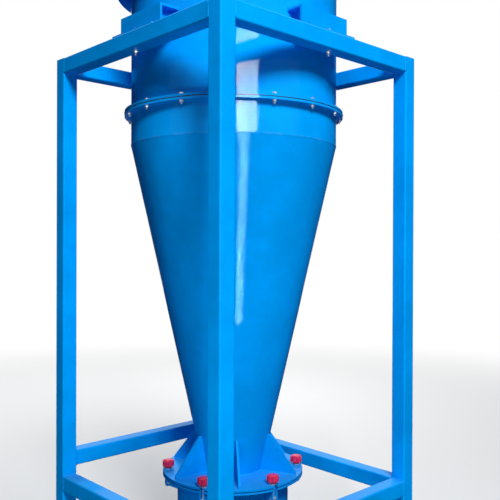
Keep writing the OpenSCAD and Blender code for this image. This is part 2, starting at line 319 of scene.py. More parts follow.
def edges(place):
    """1 along the edges of plates and tubes, where the normal averaged over 2.5 mm leaves the true
    one."""
    soft = place.node("ShaderNodeBevel", {"samples": 4}, {"Radius": 0.0025})
    true = place.node("ShaderNodeNewGeometry", output=1)
    turn = place.node("ShaderNodeVectorMath", {"operation": "DOT_PRODUCT"}, {0: soft, 1: true},
                      output=1)
    return (1.0 - turn).above(0.02, 0.18)


def bump(place, layers):
    """A stack of Bump nodes, one for each (height, depth in metres)."""
    normal = None
    for height, depth in layers:
        sockets = {"Height": height, "Strength": 1.0, "Distance": depth}
        if normal:
            sockets["Normal"] = normal
        normal = place.node("ShaderNodeBump", None, sockets)
    return normal


def principled(place, sockets):
    """Adds the Principled shader with its values and links, and wires it to the output."""
    shader = place.node("ShaderNodeBsdfPrincipled", None, sockets)
    place.node_sink("ShaderNodeOutputMaterial", {"Surface": shader})


def enamel(name, colour, peel, wave, stretch, dust):
    """Gloss enamel: colour drifts, orange peel, sheet waves, edges rubbed paler, scuffs, and dust on
    what looks up."""
    material, place = new_material(name, colour)
    drift = noise(place, 1.7, 2.0)
    cloud = noise(place, 9.0, 4.0, 0.6)
    scuffs = noise(place, 60.0, 6.0, 0.7, (1.0, 1.0, 0.25)).above(0.60, 0.78)
    grime = noise(place, 5.0, 5.0, 0.65).above(0.42, 0.72)
    dusty = facing_up(place) * (0.35 + grime * 0.5) * dust
    deep = tuple(c * 0.86 for c in colour)
    light = tuple(min(1.0, c * 1.08) for c in colour)
    tone = (drift * 0.6 + cloud * 0.4).above(0.34, 0.66).mix(deep, light)
    tone = (scuffs * 0.12).mix(tone, tuple(c * 0.8 + 0.05 for c in colour))
    tone = dusty.mix(tone, (0.16, 0.30, 0.42))
    worn = edges(place) * noise(place, 26.0, 5.0, 0.7).above(0.44, 0.62)
    tone = (worn * 0.45).mix(tone, tuple(c * 0.8 + 0.10 for c in colour))
    rough = 0.025 + cloud * 0.045 + scuffs * 0.12 + dusty * 0.5 + worn * 0.2
    normal = bump(place, [
        (noise(place, 3.2, 1.0, 0.4, stretch), wave),
        (noise(place, 26.0, 2.0, 0.5, stretch), wave * 0.22),
        (noise(place, 420.0, 2.0), peel),
    ])
    principled(place, {
        "Base Color": tone, "Roughness": rough, "Normal": normal,
        "Specular IOR Level": 0.04})
    return material


def plated_steel(name, colour):
    """Zinc plating: grey metal with a dull, cloudy grain and darker spots."""
    material, place = new_material(name, colour)
    cloud = noise(place, 130.0, 4.0, 0.6)
    spots = noise(place, 420.0, 3.0, 0.6).above(0.60, 0.74)
    tone = cloud.above(0.3, 0.7).mix(tuple(c * 0.78 for c in colour), colour)
    tone = (spots * 0.30).mix(tone, tuple(c * 0.6 for c in colour))
    normal = bump(place, [(noise(place, 900.0, 3.0), 0.00004)])
    principled(place, {
        "Base Color": tone, "Roughness": 0.30 + cloud * 0.18 + spots * 0.15,
        "Metallic": 0.92, "Normal": normal})
    return material


def rubber(name, colour, grain):
    """Matt sheet rubber with a fine grain and pale bloom."""
    material, place = new_material(name, colour)
    bloom = noise(place, 34.0, 5.0, 0.7).above(0.45, 0.72)
    tone = (bloom * 0.5).mix(colour, tuple(c * 0.8 + 0.05 for c in colour))
    normal = bump(place, [(noise(place, 700.0, 4.0), grain)])
    principled(place, {
        "Base Color": tone, "Roughness": 0.66 + bloom * 0.18, "Normal": normal,
        "Specular IOR Level": 0.35})
    return material


def knob_plastic(name, colour):
    """Moulded red plastic: satin skin, a fine texture and slightly rubbed high spots."""
    material, place = new_material(name, colour)
    rub = noise(place, 90.0, 4.0, 0.6).above(0.52, 0.72)
    tone = (rub * 0.30).mix(colour, tuple(min(1.0, c * 1.05 + 0.06) for c in colour))
    normal = bump(place, [(noise(place, 1400.0, 2.0), 0.00003)])
    principled(place, {
        "Base Color": tone, "Roughness": 0.26 + rub * 0.20, "Normal": normal,
        "Coat Weight": 0.15, "Coat Roughness": 0.15})
    return material


# Surfaces

# Edges that turn by more than this aren't smoothed
SHARP_EDGE = math.radians(40)


class Patchwork:
    """Collects grids of points and turns them into one mesh."""

    def __init__(self):
        self.points = []
        self.faces = []
        self.count = 0

    def add(self, grid, wrap_u=False, wrap_v=False):
        """Adds grids of shape (..., nu, nv, 3). Each grid cell is one face, and wrap joins the last row
        or column to the first."""
        nu, nv = grid.shape[-3:-1]
        batch = grid.reshape(-1, nu * nv, 3)
        u = np.arange(nu if wrap_u else nu - 1)[:, None]
        v = np.arange(nv if wrap_v else nv - 1)[None, :]
        u1, v1 = (u + 1) % nu, (v + 1) % nv
        cell = np.stack([u * nv + v, u1 * nv + v, u1 * nv + v1, u * nv + v1], -1).reshape(-1, 4)
        starts = self.count + nu * nv * np.arange(len(batch))
        self.points.append(batch.reshape(-1, 3))
        self.faces.append((starts[:, None, None] + cell).reshape(-1, 4))
        self.count += batch.shape[0] * nu * nv

    def build(self, name, slot):
        """Makes the object, with its doubles merged, its faces outwards and the coat of its slot, and
        lets it ride on the root."""
        mesh = bpy.data.meshes.new(name)
        points = np.concatenate(self.points)
        faces = np.concatenate(self.faces)
        mesh.vertices.add(len(points))
        mesh.vertices.foreach_set("co", points.ravel())
        mesh.loops.add(faces.size)
        mesh.loops.foreach_set("vertex_index", faces.ravel())
        mesh.polygons.add(len(faces))
        mesh.polygons.foreach_set("loop_start", np.arange(len(faces)) * 4)
        mesh.update(calc_edges=True)
        tidy = bmesh.new()
        tidy.from_mesh(mesh)
        bmesh.ops.remove_doubles(tidy, verts=tidy.verts, dist=1e-6)
        bmesh.ops.recalc_face_normals(tidy, faces=tidy.faces)
        tidy.to_mesh(mesh)
        tidy.free()
        mesh.shade_smooth()
        mesh.set_sharp_from_angle(angle=SHARP_EDGE)
        mesh.materials.append(coat(slot))
        piece = bpy.data.objects.new(name, mesh)
        bpy.context.scene.collection.objects.link(piece)
        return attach(piece, "root")


def circle_points(count):
    """Angles of a full turn without its end."""
    return np.arange(count) * 2 * math.pi / count


def lathe(profile, segments=32):
    """Turns a profile of (radius, height) pairs about Z: x = r cos a, y = r sin a, z = height."""
    profile = np.asarray(profile, float)
    a = circle_points(segments)
    r, z = profile[:, :1], profile[:, 1:]
    return np.stack([r * np.cos(a), r * np.sin(a), z + 0 * a], -1)


def hexagon(profile, flats, segments=48):
    """As lathe, but the radius stops at a hexagon: r = min(profile radius, half the width over flats
    / cos of the angle from the nearest flat's middle). A chamfer is a profile radius that grows past
    the flats."""
    profile = np.asarray(profile, float)
    a = circle_points(segments)
    edge = flats / 2 / np.cos((a + math.pi / 6) % (math.pi / 3) - math.pi / 6)
    r = np.minimum(profile[:, :1], edge)
    return np.stack([r * np.cos(a), r * np.sin(a), profile[:, 1:] + 0 * a], -1)


def thread(diameter, pitch, start, end, segments=24, per_turn=6):
    """Screw surface: the radius falls from crest to root, by 0.55 of the pitch, as a triangle wave of
    z / pitch - angle / turn."""
    z = np.linspace(start, end, int((end - start) / pitch * per_turn) + 2)[:, None]
    a = circle_points(segments)
    wave = np.abs(2 * ((z / pitch - a / (2 * math.pi)) % 1) - 1)
    r = diameter / 2 - 0.55 * pitch * wave
    rim = np.stack([r * np.cos(a), r * np.sin(a), z + 0 * a], -1)
    tip = np.zeros((1, segments, 3))
    return np.concatenate([tip + (0, 0, start), rim, tip + (0, 0, end)])


def moved(grid, shift):
    """The grid with all its points moved by shift."""
    return grid + np.asarray(shift, float)


def turned(grid, angles):
    """Copies of a grid, one for each angle about Z, as one batch."""
    c, s = np.cos(angles), np.sin(angles)
    zero, one = np.zeros_like(c), np.ones_like(c)
    spin = np.stack([np.stack([c, -s, zero], -1), np.stack([s, c, zero], -1),
                     np.stack([zero, zero, one], -1)], -2)
    return np.einsum("kij,uvj->kuvi", spin, grid)


def spread(patch, grid, place, angles):
    """Adds a grid, moved to its place, once for each angle about Z."""
    patch.add(turned(moved(grid, place), angles), wrap_v=True)


def washer(inner, outer, start, end):
    """Closed profile of a flat ring with its outer edges broken."""
    e = (end - start) * 0.25
    return [(inner, start), (outer - e, start), (outer, start + e), (outer, end - e),
            (outer - e, end), (inner, end), (inner, start)]


def bolt_head(flats, start, height):
    """Closed profile of a hexagon head that stands on start, chamfered on top."""
    r = flats * 0.62
    return [(0, start), (r, start), (r, start + height * 0.78), (flats * 0.46, start + height),
            (flats * 0.40, start + height), (0, start + height)]


# A bead has a point every 2.2 mm. A fillet rises by a part of its width, and a seam by a height in
# metres, the least of them where the cone meets the collar.
BEAD_STEP = 0.0022
FILLET_RISE = 0.42
PLATE_RISE = 0.40
SEAM_RISE = 0.0011
CONE_SEAM_RISE = 0.0003


def bead(path, across, up, width, height, pitch):
    """Weld bead along a path: an ellipse in the plane of across and up, whose size ripples along the
    path as 1 + a cos(2 pi (s / pitch - b sin angle)), so that the ripples curve like crescents."""
    steps = np.linalg.norm(np.diff(path, axis=0), axis=1)
    s = np.concatenate([[0], np.cumsum(steps)])[:, None]
    a = circle_points(10)
    ripple = 1 + 0.09 * np.cos(2 * math.pi * (s / pitch - 0.22 * np.sin(a)))
    wander = 1 + 0.06 * np.sin(s / 0.031) + 0.04 * np.sin(s / 0.0113 + 1.0)
    side = (width / 2 * wander * ripple * np.cos(a))[..., None] * across[:, None]
    rise = (height * wander * ripple * np.sin(a))[..., None] * up[:, None]
    return path[:, None] + side + rise


def closed_ends(grid):
    """Adds a row at each end that falls together to one point."""
    first = np.broadcast_to(grid[:1].mean(1, keepdims=True), grid[:1].shape)
    last = np.broadcast_to(grid[-1:].mean(1, keepdims=True), grid[-1:].shape)
    return np.concatenate([first, grid, last])


def line(start, end):
    """Evenly spaced points from start to end."""
    start, end = np.asarray(start, float), np.asarray(end, float)
    count = max(4, int(np.linalg.norm(end - start) / BEAD_STEP))
    return start + (end - start) * np.linspace(0, 1, count)[:, None]


def straight_bead(patch, start, end, side, up, width, height, pitch):
    """Bead on a straight line between two points, with closed ends."""
    path = line(start, end)
    across = np.broadcast_to(np.asarray(side, float), path.shape)
    rise = np.broadcast_to(np.asarray(up, float), path.shape)
    patch.add(closed_ends(bead(path, across, rise, width, height, pitch)), wrap_v=True)


def seam(patch, start, end, side, up):
    """Bead on a straight butt joint, as wide as a seam along side, that rises along up."""
    weld = settings().welds
    straight_bead(patch, start, end, side, up, weld.seam, SEAM_RISE, weld.pitch)


def fillet(patch, start, end, first, second, rise):
    """Bead in the straight corner between two walls, whose normals are first and second."""
    weld = settings().welds
    straight_bead(patch, start, end, (first - second) / math.sqrt(2), (first + second) / math.sqrt(2),
                  weld.fillet, weld.fillet * rise, weld.pitch)


def arc(radius, z, slope, angles):
    """Points round the axis, with the two directions of a bead's section. slope turns up from
    outwards (0) to upwards (90 degrees)."""
    out = np.stack([np.cos(angles), np.sin(angles), 0 * angles], -1)
    up = out * math.cos(slope) + np.array([0, 0, 1]) * math.sin(slope)
    across = -out * math.sin(slope) + np.array([0, 0, 1]) * math.cos(slope)
    return out * radius + (0, 0, z), across, up


def ring_bead(patch, radius, z, slope, width, height):
    """Bead all the way round the axis, with a whole number of ripples."""
    length = 2 * math.pi * radius
    pitch = length / round(length / settings().welds.pitch)
    path, across, up = arc(radius, z, slope, circle_points(int(length / BEAD_STEP)))
    patch.add(bead(path, across, up, width, height, pitch), wrap_u=True, wrap_v=True)


def arc_bead(patch, radius, z, slope, start, end, width, height):
    """Bead over a part of a turn, with closed ends."""
    angles = np.linspace(start, end, int((end - start) * radius / BEAD_STEP))
    path, across, up = arc(radius, z, slope, angles)
    patch.add(closed_ends(bead(path, across, up, width, height, settings().welds.pitch)), wrap_v=True)


# Coats by slot of the record

SHEET_NODES = ("barrel", "collar", "cone", "bin_shell", "scroll_wall", "scroll_roof", "outlet_pipe")


def coat(slot, sheet=False):
    """The material of a slot, made once. Rolled sheet gets an enamel of its own with shallow waves."""
    name = "rolled_" + slot if sheet else "coat_" + slot
    made = bpy.data.materials.get(name)
    if made:
        return made
    paint = settings().paint
    if slot == "blue_paint":
        wave = paint.wave if sheet else paint.wave * 0.12
        stretch = (1.0, 1.0, 0.45) if sheet else (1.0, 1.0, 1.0)
        return enamel(name, tuple(paint.blue), paint.peel, wave, stretch, 0.25)
    if slot == "zinc_steel":
        return plated_steel(name, tuple(paint.zinc))
    if slot == "ring_gasket":
        return rubber(name, tuple(paint.gasket), 0.0002)
    if slot == "rubber":
        return rubber(name, tuple(paint.rubber), 0.0001)
    return knob_plastic(name, tuple(paint.red))


def clamp_angles():
    """Directions of the clamps."""
    hardware = settings().hardware
    return hardware.clamp_angle + circle_points(hardware.clamps)


class CYCLONE_OT_finishes(bpy.types.Operator):
    """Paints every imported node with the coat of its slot"""

    bl_idname = "cyclone.finishes"
    bl_label = "Finishes"

    def execute(self, context):
        for part in frame["record"]["subparts"]:
            node = frame["nodes"][part["node"]]
            material = coat(part["material_slot"], part["node"] in SHEET_NODES)
            for slot in node.material_slots:
                slot.material = material
        return {"FINISHED"}


LUGS = 4

# Proportions of the bolts, in thread diameters
RING_BOLT = {"flats": 1.625, "thick": 0.2, "bore": 0.52, "rim": 1.0, "head": 0.66, "nut": 0.8,
             "pitch": 0.156, "tip": 0.7}
LUG_BOLT = {"flats": 1.5, "thick": 0.19, "bore": 0.53, "rim": 0.94, "head": 0.63, "nut": 0.8,
            "pitch": 0.15, "tip": 0.8}


def bolt_set(name, d, part, place, top, bottom, angles):
    """Bolts through a joint from top to bottom, at place (x, y) turned to each angle: a head over a
    washer, and under the joint a washer, a nut and the tip of the thread. part holds the proportions."""
    x, y = place
    flats, thick = d * part["flats"], d * part["thick"]
    patch = Patchwork()
    for start, end in ((top, top + thick), (bottom - thick, bottom)):
        ring = lathe(washer(d * part["bore"], d * part["rim"], start, end))
        spread(patch, ring, (x, y, 0), angles)
    head = hexagon(bolt_head(flats, top + thick, d * part["head"]), flats)
    spread(patch, head, (x, y, 0), angles)
    nut = hexagon(bolt_head(flats, 0, d * part["nut"]), flats) * (1, -1, -1)
    spread(patch, nut, (x, y, bottom - thick), angles)
    end = bottom - thick - d * part["nut"]
    spread(patch, thread(d, d * part["pitch"], end - d * part["tip"], end), (x, y, 0), angles)
    patch.build(name, "zinc_steel")


class CYCLONE_OT_ring_bolts(bpy.types.Operator):
    """Hexagon bolts, washers and nuts that close the joint between the barrel and the cone"""

    bl_idname = "cyclone.ring_bolts"
    bl_label = "Ring bolts"

    def execute(self, context):
        hardware = settings().hardware
        place = ((RING_R + BARREL_R) / 2, 0)
        bolt_set("ring_bolts", hardware.ring_bolt_d, RING_BOLT, place, RING_TOP, RING_BOTTOM,
                 circle_points(hardware.ring_bolts))
        return {"FINISHED"}


class CYCLONE_OT_lug_bolts(bpy.types.Operator):
    """One bolt through each lug and its rail, with washers and a nut under the rail"""

    bl_idname = "cyclone.lug_bolts"
    bl_label = "Lug bolts"

    def execute(self, context):
        top = FRAME_TOP + settings().welds.lug_t
        bolt_set("lug_bolts", settings().hardware.lug_bolt_d, LUG_BOLT, (RAIL_AXIS, LUG_SHIFT), top,
                 RAIL_BOTTOM, circle_points(LUGS))
        return {"FINISHED"}


# The beads on a tube stop this far short of its rounded corners
RAIL_CORNER = 0.006
POST_CORNER = 0.005

# The beads on a lug or a gusset stop this far short of its ends, of a gusset's tip on the flange, and
# of its heel on the cone
PLATE_END = 0.004
GUSSET_TIP = 0.003
GUSSET_HEEL = 0.006

# Tilt of the seam where the cone meets the collar, in radians
CONE_SEAM_TILT = -0.11


def quarter_turn(turn):
    """Matrix of a number of quarter turns about Z."""
    return np.array(Matrix.Rotation(turn * math.pi / 2, 3, "Z"))


def cone_foot_radius():
    """Outside radius of the cone where it meets the outlet flange."""
    vertices = frame["nodes"]["cone"].data.vertices
    co = np.zeros(len(vertices) * 3)
    vertices.foreach_get("co", co)
    co = co.reshape(-1, 3)
    foot = co[co[:, 2] < co[:, 2].min() + 1e-4]
    return float(np.hypot(foot[:, 0], foot[:, 1]).max())


class CYCLONE_OT_frame_welds(bpy.types.Operator):
    """Beads round the ends of the rails and the feet of the posts"""

    bl_idname = "cyclone.frame_welds"
    bl_label = "Frame welds"

    def execute(self, context):
        patch = Patchwork()
        for level in ("top", "low"):
            for turn, side in enumerate(("right", "back", "left", "front")):
                middle = heights(f"{level}_rail_{side}")[0] + TUBE / 2
                self.rail_end(patch, turn, middle, level == "top")
        for x in (-1, 1):
            for y in (-1, 1):
                self.square(patch, np.array([x * RAIL_AXIS, y * RAIL_AXIS, FOOT_TOP]))
        patch.build("frame_welds", "blue_paint")
        return {"FINISHED"}

    def rail_end(self, patch, turn, middle, flush):
        """Four short beads at both ends of one rail. Those on flush faces are flat seams."""
        half = TUBE / 2
        faces = (((1, 0, 0), True), ((-1, 0, 0), False), ((0, 0, 1), flush), ((0, 0, -1), False))
        spin = quarter_turn(turn)
        for end in (-1, 1):
            for normal, flat in faces:
                n = np.array(normal, float)
                along = np.array([0, 0, 1.0]) if normal[0] else np.array([1.0, 0, 0])
                centre = np.array([RAIL_AXIS, end * (RAIL_AXIS - half), middle]) + n * half
                reach = along * (half - RAIL_CORNER)
                start, stop = spin @ (centre - reach), spin @ (centre + reach)
                side = np.array([0, -end, 0.0])
                if flat:
                    seam(patch, start, stop, spin @ side, spin @ n)
                else:
                    fillet(patch, start, stop, spin @ n, spin @ side, FILLET_RISE)

    def square(self, patch, centre):
        """Bead round the foot of a post."""
        face = np.array([TUBE / 2, 0, 0])
        reach = np.array([0, TUBE / 2 - POST_CORNER, 0])
        for turn in range(4):
            spin = quarter_turn(turn)
            fillet(patch, centre + spin @ (face - reach), centre + spin @ (face + reach),
                   spin @ np.array([1.0, 0, 0]), np.array([0, 0, 1.0]), FILLET_RISE)


class CYCLONE_OT_cyclone_welds(bpy.types.Operator):
    """Beads on the seams of the sheet, round the rings and the pipe, and on the gussets and lugs"""

    bl_idname = "cyclone.cyclone_welds"
    bl_label = "Cyclone welds"

    def execute(self, context):
        weld = settings().welds
        corner = math.pi / 4
        cone_r = cone_foot_radius()
        rings = Patchwork()
        ring_bead(rings, BARREL_R, CONE_TOP, CONE_SEAM_TILT, weld.seam, CONE_SEAM_RISE)
        for r, z, slope in (
                (BARREL_R, RING_TOP, corner), (BARREL_R, RING_BOTTOM, -corner),
                (PIPE_R, ROOF_TOP, corner), (PIPE_R, PIPE_TOP, -corner),
                (cone_r, CONE_BOTTOM, corner), (BIN_R, BIN_TOP, -corner), (BIN_R, HOOP_TOP, corner)):
            ring_bead(rings, r, z, slope, weld.fillet, weld.fillet * FILLET_RISE)
        rings.build("ring_welds", "blue_paint")
        seams = Patchwork()
        for foot_r, top_r, start, end, azimuth in (
                (BARREL_R, BARREL_R, RING_TOP, SCROLL_FLOOR, 64),
                (BARREL_R, BARREL_R, CONE_TOP, RING_BOTTOM, 100),
                (cone_r, BARREL_R, CONE_BOTTOM, CONE_TOP, 82),
                (BIN_R, BIN_R, HOOP_TOP, BIN_TOP, 70),
                (PIPE_R, PIPE_R, ROOF_TOP, PIPE_TOP, 50)):
            self.upright(seams, foot_r, top_r, start, end, math.radians(azimuth))
        seams.build("seam_welds", "blue_paint")
        plates = Patchwork()
        self.gussets(plates, cone_r)
        self.lugs(plates)
        plates.build("plate_welds", "blue_paint")
        return {"FINISHED"}

    def upright(self, patch, foot_r, top_r, start, end, angle):
        """Butt seam up a cylinder or a cone."""
        out = np.array([math.cos(angle), math.sin(angle), 0])
        side = np.array([-math.sin(angle), math.cos(angle), 0])
        seam(patch, out * foot_r + (0, 0, start), out * top_r + (0, 0, end), side, out)

    def gussets(self, patch, cone_r):
        """Two beads on the flange and two on the cone for each gusset plate."""
        weld = settings().welds
        top = heights("cone_gussets")[1]
        reach = cone_r + (BARREL_R - cone_r) * (top - CONE_BOTTOM) / (CONE_TOP - CONE_BOTTOM)
        foot, up = np.array([0, 0, CONE_BOTTOM]), np.array([0, 0, 1.0])
        for angle in clamp_angles() + math.pi / settings().hardware.clamps:
            out = np.array([math.cos(angle), math.sin(angle), 0])
            inner, tip = foot + out * (cone_r + PLATE_END), foot + out * (weld.gusset_r - GUSSET_TIP)
            heel = foot + out * cone_r + up * GUSSET_HEEL
            upper = out * reach + up * (top - PLATE_END)
            for side in (-1, 1):
                across = side * np.array([-out[1], out[0], 0])
                edge = across * weld.gusset_t / 2
                for start, end, wall in ((inner, tip, up), (heel, upper, out)):
                    fillet(patch, edge + start, edge + end, across, wall, PLATE_RISE)

    def lugs(self, patch):
        """Beads along the foot of each lug's upright face, and round the barrel above and below the
        lug."""
        weld = settings().welds
        near, far = low("lug_right"), high("lug_right")
        foot = float(near[2]) + weld.lug_t
        first, last = (math.asin(float(y) / BARREL_R) for y in (near[1], far[1]))
        for turn in range(LUGS):
            spin = quarter_turn(turn)
            start = spin @ np.array([weld.lug_face, near[1] + PLATE_END, foot])
            end = spin @ np.array([weld.lug_face, far[1] - PLATE_END, foot])
            wall = spin @ np.array([1.0, 0, 0])
            fillet(patch, start, end, wall, np.array([0, 0, 1.0]), PLATE_RISE)
            side = turn * math.pi / 2
            for z, slope in ((float(far[2]), math.pi / 4), (float(near[2]), -math.pi / 4)):
                arc_bead(patch, BARREL_R, z, slope, first + side, last + side, weld.fillet,
                         weld.fillet * FILLET_RISE)


# Clamp bolts: height of the eye, how far the thread stands proud of the shank, and its pitch. Washer
# under a knob: radius of its bore and its rim, and its thickness
EYE_HEIGHT = 0.024
THREAD_PROUD = 0.0004
STUD_PITCH = 0.00175
KNOB_WASHER = (0.0125, 0.0155, 0.0025)


class CYCLONE_OT_clamp_trim(bpy.types.Operator):
    """Threads on the clamp bolts and washers under the knobs"""

    bl_idname = "cyclone.clamp_trim"
    bl_label = "Clamp trim"

    def execute(self, context):
        hardware = settings().hardware
        place = (hardware.clamp_r, 0, 0)
        base = heights("outlet_flange")[1]
        eye_top = heights("clamp_bolts")[0] + EYE_HEIGHT
        stud = thread(hardware.stud_d + THREAD_PROUD * 2, STUD_PITCH, eye_top, base + 0.001)
        threads = Patchwork()
        spread(threads, stud, place, clamp_angles())
        threads.build("clamp_threads", "zinc_steel")
        bore, rim, thick = KNOB_WASHER
        washers = Patchwork()
        spread(washers, lathe(washer(bore, rim, base, base + thick)), place, clamp_angles())
        washers.build("knob_washers", "zinc_steel")
        return {"FINISHED"}


class CYCLONE_OT_gasket_edges(bpy.types.Operator):
    """Squeezed edges of the two gaskets, a little proud and uneven"""

    bl_idname = "cyclone.gasket_edges"
    bl_label = "Gasket edges"

    def execute(self, context):
        for name, r, node, slot in (
                ("ring_gasket_edge", RING_R, "ring_gasket", "ring_gasket"),
                ("bin_gasket_edge", radius("bin_gasket"), "bin_gasket", "rubber")):
            patch = Patchwork()
            patch.add(self.edge(r, *heights(node)), wrap_u=True, wrap_v=True)
            patch.build(name, slot)
        return {"FINISHED"}

    def edge(self, r, start, end):
        """Closed ring with a lens-shaped section of angles t: radius r + swell max(cos t, -0.2), and
        height middle + half the thickness sin t. Sines of the angle a round the ring take the swell
        from 0.4 to 1.8 mm."""
        a = circle_points(720)[:, None]
        t = circle_points(12)
        swell = 0.0011 + 0.0004 * np.sin(9 * a + 1) * np.sin(23 * a) + 0.0003 * np.sin(41 * a)
        rr = r + swell * np.maximum(np.cos(t), -0.2)
        z = (start + end) / 2 + (end - start) / 2 * 0.98 * np.sin(t) + 0 * a
        return np.stack([rr * np.cos(a), rr * np.sin(a), z], -1)


# Stage, in metres and degrees

# Lamps: name, place, target, size, power in watts, and whether they spare the floor
LAMPS = (
    ("key", (-2.35, -4.41, 5.4), (0.0, 0.0, 1.4), (1.6, 1.6), 455, False),
    ("low_front", (-1.2, -3.6, 0.7), (0.0, 0.0, 1.0), (1.6, 1.2), 9, True),
    ("low_left", (-1.7, -1.3, 0.2), (-0.5, -0.4, 0.9), (0.6, 0.5), 10, True),
    ("back", (3.1, 4.4, 4.4), (0.0, 0.0, 1.4), (3.0, 3.0), 330, False),
)

# Between these two distances from the origin the floor turns white for what the camera sees
FLOOR_FADE = (2.2, 8.0)

# Side cards: name, first and last azimuth, their radius, and their lower and upper edge. Card under
# the object: radius and height
SIDE_CARDS = (("card_left", 72.0, 158.0), ("card_right", -62.0, 24.0))
SIDE_CARD_R = 3.3
SIDE_CARD_Z = (0.02, 4.2)
UNDER_CARD = (12.0, 0.003)

# Panes of the window: name, azimuth, width, lower and upper edge, and brightness. PAINTED are the nodes
# that mirror them
PANES = (
    ("pane_left", 237.4, 0.68, 1.9, 3.1, 1.35),
    ("pane_right", 248.0, 0.38, 2.3, 3.1, 1.0),
)
PANE_R = 3.1
PANE_TARGET = (0.0, 0.0, 2.0)
PANE_BEAM = 0.5
PANE_COLOUR = (0.70, 0.97, 1.0)
PAINTED = ("barrel", "barrel_ring", "cone_ring", "collar", "cone")

# Slit of the window. The bar at height z aims at the height h = AIM_Z[0] + AIM_Z[1] z and at the radius
# AIM_R[0] + AIM_R[1] h, near the cone's surface
SLIT_BARS = 20
SLIT_Z = (0.12, 1.74)
SLIT_AZIMUTH, SLIT_R = 238.0, 2.0
SLIT_WIDTH, SLIT_GAP = 0.42, 0.045
SLIT_BEAM = 0.26
SLIT_GLOW = 3.0
SLIT_COLOUR = (0.36, 1.0, 1.0)
AIM_AZIMUTH = 233.2
AIM_Z = (0.965, 0.545)
AIM_R = (0.112, 0.156)

# Lamp that glints in the bare metal: azimuth, radius and height, target, size and brightness
GLINT_PLACE = (232.0, 4.2, 2.0)
GLINT_TARGET = (0.0, 0.0, 1.6)
GLINT_SIZE = (4.0, 2.4)
GLINT_GLOW = 0.013
GLINT_COLOUR = (1.0, 1.0, 1.0)
BARE_PIECES = ("ring_bolts", "lug_bolts", "clamp_threads", "knob_washers")
BARE_NODES = ("clamp_bolts", "clamp_pins")


def polar(azimuth, r, z):
    """Point at an azimuth in degrees, a distance from the axis and a height."""
    return (r * math.cos(math.radians(azimuth)), r * math.sin(math.radians(azimuth)), z)


def light_group(name, pieces):
    """Collection of the pieces that a lamp lights, or spares."""
    made = bpy.data.collections.new(name)
    for piece in pieces:
        made.objects.link(piece)
    return made


